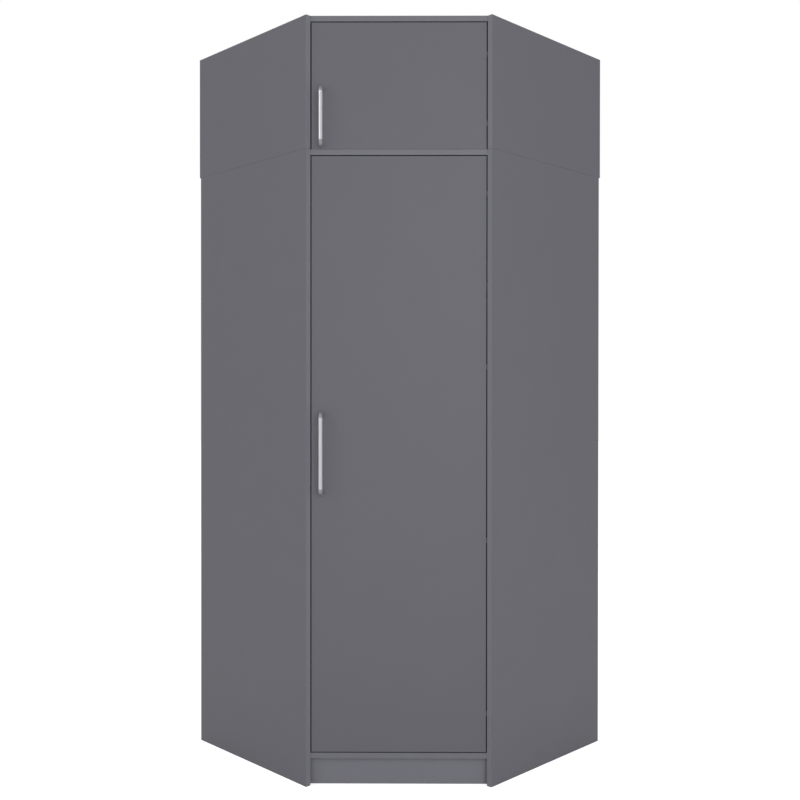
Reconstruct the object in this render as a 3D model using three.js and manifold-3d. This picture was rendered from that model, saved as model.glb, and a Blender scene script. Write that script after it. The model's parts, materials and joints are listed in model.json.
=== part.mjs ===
// Corner wardrobe in graphite board: a tall hanging cupboard with a top box stacked on it.
// Each storey stands in a room corner, and its door closes the diagonal between two side panels.
// Units are millimetres: +X right, +Y into the room corner, +Z up. The doors face -Y.
import * as THREE from 'three';
import { mergeVertices } from 'three/addons/utils/BufferGeometryUtils.js';
import Module from 'manifold-3d';

const wasm = await Module();
wasm.setup();

// Cabinet
const wallLength = 900;
const sideDepth = 530;
const lowerHeight = 1803;
const upperHeight = 377;
const upperReach = 6;
const boardThickness = 16;
const backThickness = 3;
const plinthHeight = 77;
const plinthSetback = 14;
const stileWidth = 100;

// Clearances
const seat = 0.3;
const overrun = 1;
const doorSideGap = 2.8;
const doorEndGap = 3;
const upperDoorFootGap = 1.5;

// Shelf and hanging rail
const hatSpaceHeight = 300;
const shelfSetback = 22;
const pegRadius = 3;
const pegShankRadius = 2.5;
const pegReach = 8;
const pegDepth = 8;
const pegFrontPlace = 60;
const pegRearInset = 60;
const railRadius = 12.5;
const railWall = 1.5;
const railLength = 700;
const railDrop = 45;
const railPlace = 400;
const hangerRingWall = 3;
const hangerWidth = 14;
const hangerStemWidth = 12;
const hangerFlangeWidth = 42;
const hangerFlangeThickness = 2.5;
const hangerInset = 60;

// Bow handles
const handleBarRadius = 6;
const handleReach = 32;
const handleBendRadius = 12;
const handleInset = 28;
const upperHandleSpacing = 160;
const upperHandleRise = 8;
const lowerHandleSpacing = 224;
const lowerHandleHeight = 944;
const boltRadius = 2;
const boltHoleRadius = 2.5;
const boltGrip = 4;
const boltHeadRadius = 4.5;
const boltHeadHeight = 2.5;

// Hinge places on the doors
const lowerHingeEndDistance = 100;
const lowerHingeCount = 4;
const upperHingeEndDistance = 80;
const upperHingeCount = 2;

// Cup of the hinge, sunk in the door
const cupEdgeDistance = 22.5;
const cupBoreRadius = 17.5;
const cupBoreDepth = 12;
const cupWall = 1;
const flangeThickness = 1.4;
const flangeHalfHeight = 29;
const flangeHalfWidth = 10;
const flangeRim = 1.2;
const flangeCornerRadius = 4;
const rimRelief = 1.2;
const cupEarInner = 7.8;
const cupEarThickness = 1.4;
const cupEarRise = 8.5;

// Linkage of the hinge, seen in plan: u runs from the side panel's inner front corner along
// the door, v runs from the door's face into the cabinet
const armInnerPivot = { u: 20.6, v: 13.25 };
const armOuterPivot = { u: 17.7, v: 8.4 };
const cupInnerPivot = { u: 14.1, v: 11.1 };
const cupOuterPivot = { u: 36.1, v: 9.4 };
const hingePinRadius = 1.1;
const eyeClearance = 0.2;
const looseEyeClearance = 0.35;
const linkHalfWidth = 2.35;
const linkThickness = 4.6;
const linkGap = 0.4;
const slotTravelInward = 1.3;
const slotTravelOutward = 0.75;
const slotSideClearance = 0.55;

// Arm and mounting plate of the hinge: the neck is given in u and v, the heel by its place
// along the side panel and its height above it
const neckTop = { u: 28.5, v: 29.5 };
const neckKnee = { u: -6, v: 32 };
const heelFront = 36;
const heelRear = 64;
const heelHeight = 8;
const armHalfWidth = 7.2;
const armSheet = 1.6;
const armNeckHalfDepth = 2.2;
const armNeckOpenShare = 0.75;
const plateFront = 30;
const plateRear = 66;
const plateHalfWidth = 8;
const plateThickness = 2.5;
const plateRailFront = 38;
const plateRailHalfWidth = 4.8;
const wingPlace = 37;
const wingHalfLength = 4.5;
const wingHalfWidth = 26;

// Facets
const arcSegments = 3;
const pinSegments = 10;
const tubeSegments = 20;
const cupSegments = 28;
const bendSteps = 5;
const weldDistance = 1e-4;

// Places that follow from the sizes
const diagonal = Math.SQRT1_2;
const frontWidth = (wallLength - sideDepth) / diagonal;
const cornerX = frontWidth / 2 - boardThickness * diagonal;
const frontY = boardThickness * diagonal;
const doorBackY = frontY + boardThickness;
const doorHalfWidth = cornerX - doorSideGap;
const totalHeight = lowerHeight + upperHeight;
const shelfHeight = lowerHeight - 2 * boardThickness - hatSpaceHeight;
const pegRearPlace = sideDepth - pegRearInset;
const cupRadius = cupBoreRadius - seat;
const cupCentre = { u: doorSideGap + cupEdgeDistance, v: boardThickness - cupBoreDepth + seat };

const lowerStorey = makeStorey(0, 0, lowerHeight);
const upperStorey = makeStorey(upperReach, lowerHeight, totalHeight);
const lowerDoor = {
  bottom: plinthHeight + boardThickness + doorEndGap,
  top: lowerHeight - boardThickness - doorEndGap,
};
const upperDoor = {
  bottom: lowerHeight + upperDoorFootGap,
  top: totalHeight - boardThickness - doorEndGap,
};

// Finishes
const graphite = finish(0x6d6d73, 0.55, 0);
const hardboard = finish(0x8a7560, 0.8, 0);
const chrome = finish(0xd0d2d6, 0.18, 1);
const steel = finish(0xa9adb2, 0.35, 1);
const zinc = finish(0xbfc3c8, 0.3, 1);

function finish(color, roughness, metalness) {
  return new THREE.MeshStandardMaterial({ color, roughness, metalness });
}

// A storey's footprint is a square on the two walls with one corner cut by the door
function makeStorey(reach, bottom, top) {
  const wall = wallLength + reach;
  const depth = sideDepth + reach;
  return { wall, depth, bottom, top, apexY: (wall + depth) * diagonal };
}

// A plan point from its distances to the two walls; hand 1 is the right wall, -1 the left
function fromWalls(storey, along, off, hand) {
  return new THREE.Vector2(hand * (along - off) * diagonal, storey.apexY - (along + off) * diagonal);
}

// A plan point of the hinge
function fromDoor({ u, v }) {
  return new THREE.Vector2(cornerX - u, frontY + v);
}

// A plan point from its place along the right side panel and its height above the panel's face
function fromSide(along, height) {
  return fromDoor({ u: (height - along) * diagonal, v: (height + along) * diagonal });
}

function toSolid(geometry) {
  const bare = geometry.index ? geometry.toNonIndexed() : geometry.clone();
  bare.deleteAttribute('normal');
  bare.deleteAttribute('uv');
  const merged = mergeVertices(bare, weldDistance);
  const vertProperties = merged.attributes.position.array;
  const triVerts = new Uint32Array(merged.index.array);
  return new wasm.Manifold(new wasm.Mesh({ numProp: 3, vertProperties, triVerts }));
}

function toGeometry(solid) {
  const mesh = solid.getMesh();
  const geometry = new THREE.BufferGeometry();
  geometry.setAttribute('position', new THREE.BufferAttribute(mesh.vertProperties, 3));
  geometry.setIndex(new THREE.BufferAttribute(mesh.triVerts, 1));
  const faceted = geometry.toNonIndexed();
  faceted.computeVertexNormals();
  return faceted;
}

function unite(solids) {
  return solids.reduce((whole, solid) => whole.add(solid));
}

// An upright prism on a plan shape
function prism(shape, bottom, top) {
  const geometry = new THREE.ExtrudeGeometry(shape, {
    depth: top - bottom,
    bevelEnabled: false,
    curveSegments: arcSegments,
  });
  return geometry.translate(0, 0, bottom);
}

function polygon(points) {
  return new THREE.Shape(points);
}

// A strip with round ends from one plan point to another, or a disc where the two are one
function strip(start, end, radius, Outline = THREE.Shape) {
  const heading = Math.atan2(end.y - start.y, end.x - start.x);
  const quarter = Math.PI / 2;
  const outline = new Outline();
  outline.absarc(end.x, end.y, radius, heading - quarter, heading + quarter, false);
  outline.absarc(start.x, start.y, radius, heading + quarter, heading - quarter, false);
  outline.closePath();
  return outline;
}

// Strips along a plan route, as one solid
function strap(route, radius, bottom, top) {
  const strips = route.slice(1).map((end, place) => strip(route[place], end, radius));
  return unite(strips.map((outline) => toSolid(prism(outline, bottom, top))));
}

// A round bar along Y
function barAlongY(x, z, radius, front, rear, segments) {
  const geometry = new THREE.CylinderGeometry(radius, radius, rear - front, segments);
  return geometry.translate(x, (front + rear) / 2, z);
}

function uprightPin(centre, middle, halfLength) {
  const geometry = new THREE.CylinderGeometry(
    hingePinRadius,
    hingePinRadius,
    2 * halfLength,
    pinSegments,
  );
  return geometry.rotateX(Math.PI / 2).translate(centre.x, centre.y, middle);
}

// Side panel: its front end is cut square, its rear edge is covered by the back
function sidePanel(storey, hand) {
  const inner = storey.wall - boardThickness;
  const rear = backThickness + seat;
  const outline = polygon([
    fromWalls(storey, storey.wall, storey.depth, hand),
    fromWalls(storey, storey.wall, rear, hand),
    fromWalls(storey, inner, rear, hand),
    fromWalls(storey, inner, storey.depth, hand),
  ]);
  return toSolid(prism(outline, storey.bottom, storey.top));
}

// Hardboard back along one wall; the left back laps behind the right one
function backPanel(storey, hand) {
  const start = hand > 0 ? 0 : backThickness + seat;
  const outline = polygon([
    fromWalls(storey, start, 0, hand),
    fromWalls(storey, storey.wall, 0, hand),
    fromWalls(storey, storey.wall, backThickness, hand),
    fromWalls(storey, start, backThickness, hand),
  ]);
  return prism(outline, storey.bottom, storey.top);
}

// Upright strip beside the room corner; the right one butts against the left one
function cornerStile(storey, hand, bottom) {
  const near = backThickness + seat;
  const far = near + boardThickness;
  const start = hand > 0 ? far + seat : near;
  const outline = polygon([
    fromWalls(storey, start, near, hand),
    fromWalls(storey, stileWidth, near, hand),
    fromWalls(storey, stileWidth, far, hand),
    fromWalls(storey, start, far, hand),
  ]);
  return prism(outline, bottom, storey.top - boardThickness);
}

// Five-sided level board between the side panels, with its front edge at a given depth
function levelBoard(storey, front, bottom, notched) {
  const side = storey.wall - boardThickness - seat;
  const rear = backThickness + seat;
  const frontOff = (storey.apexY - front) / diagonal - side;
  const half = [
    [side, frontOff],
    [side, rear],
  ];
  if (notched) {
    const stileFace = rear + boardThickness + seat;
    half.push([stileWidth + seat, rear], [stileWidth + seat, stileFace], [stileFace + seat, stileFace + seat]);
  } else {
    half.push([rear, rear]);
  }
  const right = half.map(([along, off]) => fromWalls(storey, along, off, 1));
  const left = half.slice(0, -1).reverse().map(([along, off]) => fromWalls(storey, along, off, -1));
  return prism(polygon([...right, ...left]), bottom, bottom + boardThickness);
}

// Plinth board with mitred ends against the side panels
function plinthBoard() {
  const front = frontY + plinthSetback;
  const rear = front + boardThickness;
  const reach = frontWidth / 2 - (boardThickness + seat) / diagonal;
  const outline = polygon([
    new THREE.Vector2(-front - reach, front),
    new THREE.Vector2(front + reach, front),
    new THREE.Vector2(rear + reach, rear),
    new THREE.Vector2(-rear - reach, rear),
  ]);
  return prism(outline, 0, plinthHeight);
}

// Shelf peg: a shank in the side panel and a thicker nose under the shelf
function shelfPeg() {
  const profile = [
    new THREE.Vector2(0, -pegDepth),
    new THREE.Vector2(pegShankRadius, -pegDepth),
    new THREE.Vector2(pegShankRadius, seat),
    new THREE.Vector2(pegRadius, seat),
    new THREE.Vector2(pegRadius, pegReach),
    new THREE.Vector2(0, pegReach),
  ];
  return new THREE.LatheGeometry(profile, 2 * pinSegments);
}

function pegHole() {
  const length = pegDepth + seat + overrun;
  const radius = pegShankRadius + seat;
  const geometry = new THREE.CylinderGeometry(radius, radius, length, pinSegments);
  return geometry.translate(0, overrun - length / 2, 0);
}

// Sets a piece that points along +Y onto the inner face of a side panel
function ontoSide(geometry, along, height, hand) {
  const foot = fromSide(along, 0);
  const turned = geometry.rotateZ((hand * Math.PI) / 4);
  return turned.translate(hand * foot.x, foot.y, height);
}

const pegHeight = shelfHeight - pegRadius - seat;
const pegPlaces = [pegFrontPlace, pegRearPlace];

function lowerSidePanel(hand) {
  const holes = pegPlaces.map((along) => toSolid(ontoSide(pegHole(), along, pegHeight, hand)));
  return toGeometry(sidePanel(lowerStorey, hand).subtract(unite(holes)));
}

// Hanging rail, parallel to the door
const railHeight = shelfHeight - railDrop;
const railY = frontY + railPlace;

// Lays a shape drawn in Y and Z, and extruded, along X
function alongX(geometry) {
  const axes = new THREE.Matrix4().makeBasis(
    new THREE.Vector3(0, 1, 0),
    new THREE.Vector3(0, 0, 1),
    new THREE.Vector3(1, 0, 0),
  );
  return geometry.applyMatrix4(axes);
}

function hangingRail() {
  const ring = new THREE.Shape().absarc(railY, railHeight, railRadius, 0, 2 * Math.PI, false);
  ring.holes.push(new THREE.Path().absarc(railY, railHeight, railRadius - railWall, 0, 2 * Math.PI, true));
  const tube = new THREE.ExtrudeGeometry(ring, {
    depth: railLength,
    bevelEnabled: false,
    curveSegments: tubeSegments / 2,
  });
  return alongX(tube.translate(0, 0, -railLength / 2));
}

// Rail hanger: a ring round the rail on a stem with a flange under the shelf
function railHanger(x) {
  const bore = railRadius + seat;
  const ringRadius = bore + hangerRingWall;
  const stem = hangerStemWidth / 2;
  const flange = hangerFlangeWidth / 2;
  const lean = Math.asin(stem / ringRadius);
  const under = shelfHeight - hangerFlangeThickness;
  const up = Math.PI / 2;
  const outline = new THREE.Shape();
  outline.moveTo(railY + flange, under);
  outline.lineTo(railY + flange, shelfHeight);
  outline.lineTo(railY - flange, shelfHeight);
  outline.lineTo(railY - flange, under);
  outline.lineTo(railY - stem, under);
  outline.absarc(railY, railHeight, ringRadius, up + lean, up - lean + 2 * Math.PI, false);
  outline.lineTo(railY + stem, under);
  outline.closePath();
  outline.holes.push(new THREE.Path().absarc(railY, railHeight, bore, 0, 2 * Math.PI, true));
  const body = new THREE.ExtrudeGeometry(outline, {
    depth: hangerWidth,
    bevelEnabled: false,
    curveSegments: tubeSegments / 2,
  });
  return alongX(body.translate(0, 0, x - hangerWidth / 2));
}

// Door leaf with its cup borings and bolt holes
function doorLeaf(span, hinges, boltHeights) {
  const leaf = new THREE.BoxGeometry(2 * doorHalfWidth, boardThickness, span.top - span.bottom);
  leaf.translate(0, frontY + boardThickness / 2, (span.top + span.bottom) / 2);
  const cupX = fromDoor(cupCentre).x;
  const cups = hinges.map((z) =>
    barAlongY(cupX, z, cupBoreRadius, doorBackY - cupBoreDepth, doorBackY + overrun, cupSegments),
  );
  const bolts = boltHeights.map((z) =>
    barAlongY(handleX, z, boltHoleRadius, frontY - overrun, doorBackY + overrun, pinSegments),
  );
  const cuts = [...cups, ...bolts].map(toSolid);
  return toGeometry(toSolid(leaf).subtract(unite(cuts)));
}

const handleX = handleInset - doorHalfWidth;

// Centre line of a bow handle: leg, bend, bar, bend, leg. Each bend has the same number of
// stations, and each straight stretch has one step.
class BowLine extends THREE.Curve {
  constructor(x, lowFoot, highFoot) {
    super();
    const out = frontY - handleReach + handleBarRadius;
    const bendIn = out + handleBendRadius;
    this.stations = [new THREE.Vector3(x, frontY - seat, lowFoot)];
    this.addBend(x, bendIn, lowFoot + handleBendRadius, Math.PI);
    this.addBend(x, bendIn, highFoot - handleBendRadius, Math.PI / 2);
    this.stations.push(new THREE.Vector3(x, frontY - seat, highFoot));
  }

  // A quarter bend about a centre: the angle is measured from straight up, toward the front
  addBend(x, y, z, from) {
    for (let step = 0; step <= bendSteps; step += 1) {
      const angle = from - (step / bendSteps) * (Math.PI / 2);
      const ahead = handleBendRadius * Math.sin(angle);
      const above = handleBendRadius * Math.cos(angle);
      this.stations.push(new THREE.Vector3(x, y - ahead, z + above));
    }
  }

  getPoint(t, target = new THREE.Vector3()) {
    const place = t * (this.stations.length - 1);
    const index = Math.min(Math.floor(place), this.stations.length - 2);
    return target.lerpVectors(this.stations[index], this.stations[index + 1], place - index);
  }

  getUtoTmapping(u) {
    return u;
  }
}

function bowHandle(lowFoot, spacing) {
  const feet = [lowFoot, lowFoot + spacing];
  const line = new BowLine(handleX, ...feet);
  const section = new THREE.Shape().absarc(0, 0, handleBarRadius, 0, 2 * Math.PI, false);
  const bow = new THREE.ExtrudeGeometry(section, {
    extrudePath: line,
    steps: line.stations.length - 1,
    curveSegments: 2 * arcSegments,
  });
  return toGeometry(unite([toSolid(bow), ...feet.flatMap(handleBolt)]));
}

// Bolt from inside the door into the handle's foot
function handleBolt(z) {
  const headFront = doorBackY + seat;
  const headRear = headFront + boltHeadHeight;
  const shank = barAlongY(handleX, z, boltRadius, frontY - boltGrip, headFront + overrun, pinSegments);
  const head = barAlongY(handleX, z, boltHeadRadius, headFront, headRear, pinSegments);
  return [toSolid(shank), toSolid(head)];
}

// Cup of the hinge: a shallow can with two ears that hold its pins, and a screwed flange
function hingeCup(z) {
  const centre = fromDoor(cupCentre);
  const floor = frontY + cupCentre.v;
  const rim = doorBackY + seat;
  const hollowRadius = cupRadius - cupWall;
  const can = barAlongY(centre.x, z, cupRadius, floor, rim + flangeThickness, cupSegments);
  const hollow = barAlongY(centre.x, z, hollowRadius, floor + cupWall, rim + flangeThickness + overrun, cupSegments);
  const trim = barAlongY(centre.x, z, cupRadius - cupWall / 2, floor, rim, cupSegments);
  const body = unite([toSolid(can), toSolid(cupFlange(centre.x, z, rim))]);
  const shell = body.subtract(toSolid(hollow)).subtract(toSolid(rimCut(centre.x, z)));
  const ears = [1, -1].map((way) => toSolid(cupEar(centre.x, z, floor, way)).intersect(toSolid(trim)));
  const pinReach = cupEarInner + cupEarThickness / 2;
  const pins = [cupInnerPivot, cupOuterPivot].map((pivot) =>
    toSolid(uprightPin(fromDoor(pivot), z, pinReach)),
  );
  return toGeometry(unite([shell, ...ears, ...pins]));
}

// The can's rim is cut down beside the door's edge, so that it passes the arm's neck
function rimCut(x, z) {
  const width = cupRadius - flangeHalfWidth + overrun;
  const depth = rimRelief + seat + flangeThickness + overrun;
  const cut = new THREE.BoxGeometry(width, depth, 2 * cupRadius + overrun);
  return cut.translate(x + flangeHalfWidth + width / 2, doorBackY - rimRelief + depth / 2, z);
}

function cupEar(x, z, floor, way) {
  const ear = new THREE.BoxGeometry(2 * cupRadius, cupEarRise, cupEarThickness);
  return ear.translate(x, floor + cupEarRise / 2, z + way * (cupEarInner + cupEarThickness / 2));
}

// Flange on the door's back: wings above and below the cup, cut straight beside the door's edge
function cupFlange(x, z, back) {
  const ring = cupRadius + flangeRim;
  const corner = flangeCornerRadius;
  const lean = Math.asin(flangeHalfWidth / ring);
  const up = Math.PI / 2;
  const outline = new THREE.Shape();
  outline.moveTo(x + flangeHalfWidth, z - flangeHalfHeight + corner);
  outline.lineTo(x + flangeHalfWidth, z + flangeHalfHeight - corner);
  outline.lineTo(x + flangeHalfWidth - corner, z + flangeHalfHeight);
  outline.lineTo(x - flangeHalfWidth + corner, z + flangeHalfHeight);
  outline.lineTo(x - flangeHalfWidth, z + flangeHalfHeight - corner);
  outline.absarc(x, z, ring, up + lean, 3 * up - lean, false);
  outline.lineTo(x - flangeHalfWidth, z - flangeHalfHeight + corner);
  outline.lineTo(x - flangeHalfWidth + corner, z - flangeHalfHeight);
  outline.lineTo(x + flangeHalfWidth - corner, z - flangeHalfHeight);
  outline.closePath();
  const plate = new THREE.ExtrudeGeometry(outline, {
    depth: flangeThickness,
    bevelEnabled: false,
    curveSegments: cupSegments / 4,
  });
  return plate.rotateX(Math.PI / 2).translate(0, back + flangeThickness, 0);
}

// Inner link: a short strap with a close eye on the arm's pin and a loose eye on the cup's pin
function innerLink(z) {
  const pivot = fromDoor(armInnerPivot);
  const pin = fromDoor(cupInnerPivot);
  const outline = strip(pivot, pin, linkHalfWidth);
  outline.holes.push(strip(pivot, pivot, hingePinRadius + eyeClearance, THREE.Path));
  outline.holes.push(strip(pin, pin, hingePinRadius + looseEyeClearance, THREE.Path));
  return prism(outline, z - linkGap / 2 - linkThickness, z - linkGap / 2);
}

// Outer link: a long strap with a round eye on the arm's pin and a slot on the cup's pin
function outerLink(z) {
  const pivot = fromDoor(armOuterPivot);
  const pin = fromDoor(cupOuterPivot);
  const heading = pin.clone().sub(pivot).normalize();
  const slotStart = pin.clone().addScaledVector(heading, -slotTravelInward);
  const slotEnd = pin.clone().addScaledVector(heading, slotTravelOutward);
  const outline = strip(pivot, slotEnd, linkHalfWidth);
  outline.holes.push(strip(pivot, pivot, hingePinRadius + eyeClearance, THREE.Path));
  outline.holes.push(strip(slotStart, slotEnd, hingePinRadius + slotSideClearance, THREE.Path));
  return prism(outline, z + linkGap / 2, z + linkGap / 2 + linkThickness);
}

// Arm: a folded channel that swings over the door's edge, with the two fixed pins in its neck
function hingeArm(z) {
  const pivots = [fromDoor(armOuterPivot), fromDoor(armInnerPivot)];
  const top = fromDoor(neckTop);
  const heel = [fromSide(heelFront, heelHeight), fromSide(heelRear, heelHeight)];
  const channel = [top, fromDoor(neckKnee), ...heel];
  const fold = new THREE.Vector2(armSheet * Math.tan(Math.PI / 8), -armSheet);
  const openEnd = fromSide(heelRear + armNeckHalfDepth + overrun, heelHeight);
  const inside = [...channel.slice(0, -1), openEnd].map((point) => point.clone().add(fold));
  const neckOpen = pivots[1].clone().lerp(top, armNeckOpenShare);
  const inner = armHalfWidth - armSheet;
  const outside = strap([...pivots, ...channel], armNeckHalfDepth, z - armHalfWidth, z + armHalfWidth);
  const hollow = strap(inside, armNeckHalfDepth, z - inner, z + inner);
  const window = strap([...pivots, neckOpen], armNeckHalfDepth + overrun, z - inner, z + inner);
  const pins = pivots.map((pivot) => toSolid(uprightPin(pivot, z, armHalfWidth)));
  return toGeometry(unite([outside.subtract(hollow).subtract(window), ...pins]));
}

// Mounting plate on the side panel: a base, two screw wings and the rail that the arm straddles
function mountingPlate(z) {
  const base = seat + plateThickness;
  const railTop = heelHeight + armNeckHalfDepth - armSheet - seat;
  const block = (front, rear, low, high, halfWidth) => {
    const outline = polygon([
      fromSide(front, low),
      fromSide(rear, low),
      fromSide(rear, high),
      fromSide(front, high),
    ]);
    return toSolid(prism(outline, z - halfWidth, z + halfWidth));
  };
  return toGeometry(
    unite([
      block(plateFront, plateRear, seat, base, plateHalfWidth),
      block(wingPlace - wingHalfLength, wingPlace + wingHalfLength, seat, base, wingHalfWidth),
      block(plateRailFront, plateRear, seat, railTop, plateRailHalfWidth),
    ]),
  );
}

// Assembly
const cabinet = new THREE.Group();

function add(name, geometry, material) {
  const mesh = new THREE.Mesh(geometry, material);
  mesh.name = name;
  cabinet.add(mesh);
}

const hands = { left: -1, right: 1 };

function addCarcass(prefix, storey, stileBottom) {
  for (const [side, hand] of Object.entries(hands)) {
    const panel = storey === lowerStorey ? lowerSidePanel(hand) : toGeometry(sidePanel(storey, hand));
    add(`${prefix}_side_${side}`, panel, graphite);
    add(`${prefix}_back_${side}`, backPanel(storey, hand), hardboard);
    add(`${prefix}_corner_stile_${side}`, cornerStile(storey, hand, stileBottom), graphite);
  }
  add(`${prefix}_top_panel`, levelBoard(storey, frontY, storey.top - boardThickness, false), graphite);
}

function addDoor(prefix, span, endDistance, count, lowFoot, spacing) {
  const lowest = span.bottom + endDistance;
  const pitch = (span.top - endDistance - lowest) / (count - 1);
  const heights = Array.from({ length: count }, (_, place) => lowest + place * pitch);
  add(`${prefix}_door`, doorLeaf(span, heights, [lowFoot, lowFoot + spacing]), graphite);
  add(`${prefix}_handle`, bowHandle(lowFoot, spacing), chrome);
  heights.forEach((z, place) => {
    const hinge = `${prefix}_hinge_${place + 1}`;
    add(`${hinge}_cup`, hingeCup(z), steel);
    add(`${hinge}_inner_link`, innerLink(z), steel);
    add(`${hinge}_outer_link`, outerLink(z), steel);
    add(`${hinge}_arm`, hingeArm(z), steel);
    add(`${hinge}_plate`, mountingPlate(z), zinc);
  });
}

addCarcass('lower', lowerStorey, 0);
add('lower_bottom_panel', levelBoard(lowerStorey, frontY, plinthHeight, true), graphite);
add('plinth_board', plinthBoard(), graphite);
addCarcass('upper', upperStorey, lowerHeight);

add('hat_shelf', levelBoard(lowerStorey, doorBackY + shelfSetback, shelfHeight, true), graphite);
for (const [side, hand] of Object.entries(hands)) {
  add(`shelf_peg_${side}_front`, ontoSide(shelfPeg(), pegFrontPlace, pegHeight, hand), zinc);
  add(`shelf_peg_${side}_rear`, ontoSide(shelfPeg(), pegRearPlace, pegHeight, hand), zinc);
  add(`rail_hanger_${side}`, railHanger(hand * (railLength / 2 - hangerInset)), zinc);
}
add('hanging_rail', hangingRail(), chrome);

const lowerFoot = lowerHandleHeight - lowerHandleSpacing / 2;
const upperFoot = upperDoor.bottom + upperHandleRise;
addDoor('lower', lowerDoor, lowerHingeEndDistance, lowerHingeCount, lowerFoot, lowerHandleSpacing);
addDoor('upper', upperDoor, upperHingeEndDistance, upperHingeCount, upperFoot, upperHandleSpacing);

// The origin is on the floor, below the middle of the wardrobe's box
cabinet.position.y = -(upperStorey.apexY + frontY - handleReach) / 2;
const group = new THREE.Group();
group.add(cabinet);

export default group;
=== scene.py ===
"""Corner wardrobe in graphite board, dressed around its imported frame.

Lengths are metres in the frame's axes: +X right, +Y into the room corner, +Z up.
The doors face -Y.
"""
import json
import logging
import math
from collections.abc import Callable, Iterable, Sequence
from dataclasses import dataclass, field
from enum import Enum

import bmesh
import bpy
from mathutils import Matrix, Vector

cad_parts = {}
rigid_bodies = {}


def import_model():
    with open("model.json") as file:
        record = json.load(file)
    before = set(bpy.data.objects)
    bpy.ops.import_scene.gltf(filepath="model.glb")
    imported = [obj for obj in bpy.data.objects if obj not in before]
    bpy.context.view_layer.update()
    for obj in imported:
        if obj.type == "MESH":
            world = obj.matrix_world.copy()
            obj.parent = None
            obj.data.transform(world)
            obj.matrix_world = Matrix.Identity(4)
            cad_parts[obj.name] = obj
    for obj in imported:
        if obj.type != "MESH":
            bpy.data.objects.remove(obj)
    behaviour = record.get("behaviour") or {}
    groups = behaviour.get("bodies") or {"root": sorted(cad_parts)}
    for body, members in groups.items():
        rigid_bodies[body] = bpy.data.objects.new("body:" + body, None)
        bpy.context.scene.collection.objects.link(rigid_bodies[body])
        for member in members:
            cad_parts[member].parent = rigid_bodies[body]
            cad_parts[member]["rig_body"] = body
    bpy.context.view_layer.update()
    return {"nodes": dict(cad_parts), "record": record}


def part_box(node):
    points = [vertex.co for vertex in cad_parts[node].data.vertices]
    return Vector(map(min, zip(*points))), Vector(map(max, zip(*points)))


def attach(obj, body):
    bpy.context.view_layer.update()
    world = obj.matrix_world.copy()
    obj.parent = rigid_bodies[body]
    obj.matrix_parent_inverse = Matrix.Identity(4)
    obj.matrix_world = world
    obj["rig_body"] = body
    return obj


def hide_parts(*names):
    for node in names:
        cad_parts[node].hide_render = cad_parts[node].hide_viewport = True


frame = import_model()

LOG = logging.getLogger("corner_wardrobe")
MM = 0.001
DIAGONAL = math.sqrt(0.5)
UNIT = (0.0, 1.0)
WHITE = (1.0, 1.0, 1.0, 1.0)
WELD = 0.001 * MM
FLAT_ANGLE = math.radians(0.5)
ROUND_PROFILE = 0.5
SLOT_OF_NODE = {part["node"]: part["material_slot"] for part in frame["record"]["subparts"]}
Colour = tuple[float, float, float]
Span = tuple[float, float]
Socket = bpy.types.NodeSocket


class Storey(Enum):
    """The two boxes of the wardrobe, by the first word of their pieces' names."""

    LOWER = "lower"
    UPPER = "upper"


class Hand(Enum):
    """The two sides of the wardrobe, by the sign of their X."""

    LEFT = -1
    RIGHT = 1

    @property
    def word(self) -> str:
        """The side's name, as pieces carry it."""
        return self.name.lower()


class Slot(Enum):
    """The record's finishes."""

    BOARD = "graphite_board"
    HARDBOARD = "hardboard"
    HANDLE = "handle_chrome"
    RAIL = "rail_chrome"
    HINGE = "hinge_steel"
    ZINC = "zinc"


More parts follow.
